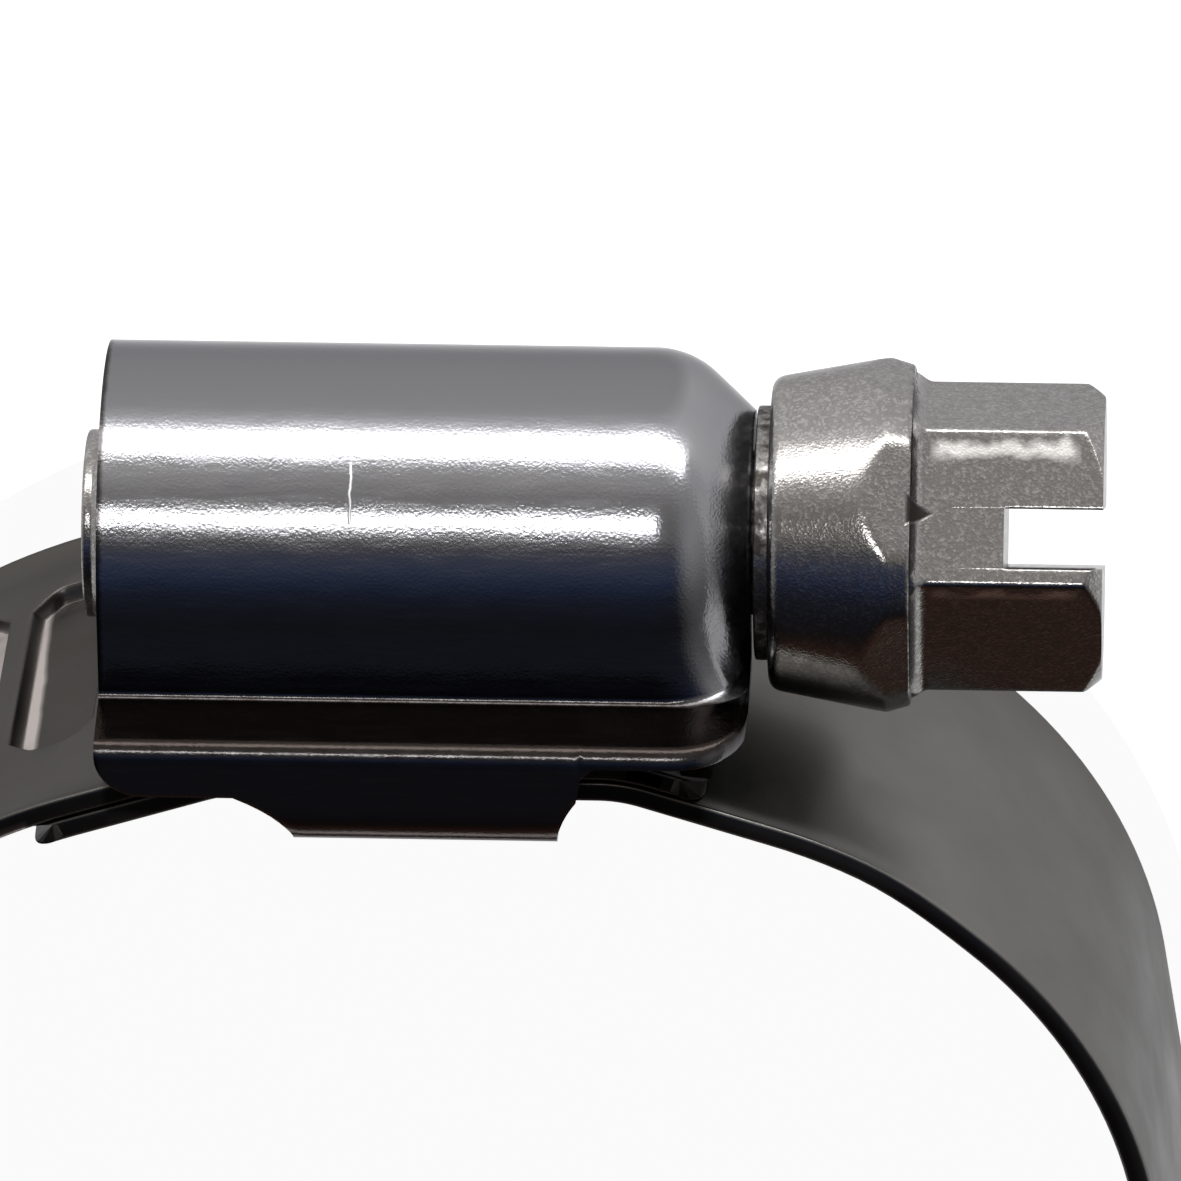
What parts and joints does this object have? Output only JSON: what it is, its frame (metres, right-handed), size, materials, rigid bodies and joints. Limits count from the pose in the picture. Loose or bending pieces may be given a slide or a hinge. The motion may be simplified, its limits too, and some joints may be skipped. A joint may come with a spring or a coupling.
{
  "type": "worm drive hose clamp",
  "caption": "Ring of steel strip closed by a worm screw in a pressed housing, with a slotted hexagon head and a conical collar.",
  "frame": {"origin": "middle of the box that the clamp fills, on the surface that it lies on", "axes": "+X along the screw towards its head, +Y out of the ring through the housing, +Z along the ring's axis, up from the surface that it lies on"},
  "size_m": [0.0398, 0.0502, 0.014],
  "materials": {
    "polished_steel": "pressed and polished steel sheet, mirror-like with fine speckle and scratches",
    "strip_steel": "rolled stainless strip, matt grey with soft streaks",
    "plated_steel": "turned and headed steel, bright plated, with a sparkling fine grain"
  },
  "bodies": {
    "clamp_body": {"housing": "polished_steel", "band": "strip_steel"},
    "drive_screw": {"screw": "plated_steel"}
  },
  "joints": [
    {"name": "screw_turn", "type": "hinge", "parent": "clamp_body", "child": "drive_screw", "pos_m": [-0.00047, 0.02045, 0.007], "axis": [1, 0, 0], "continuous": true, "deforming": ["band"]}
  ]
}
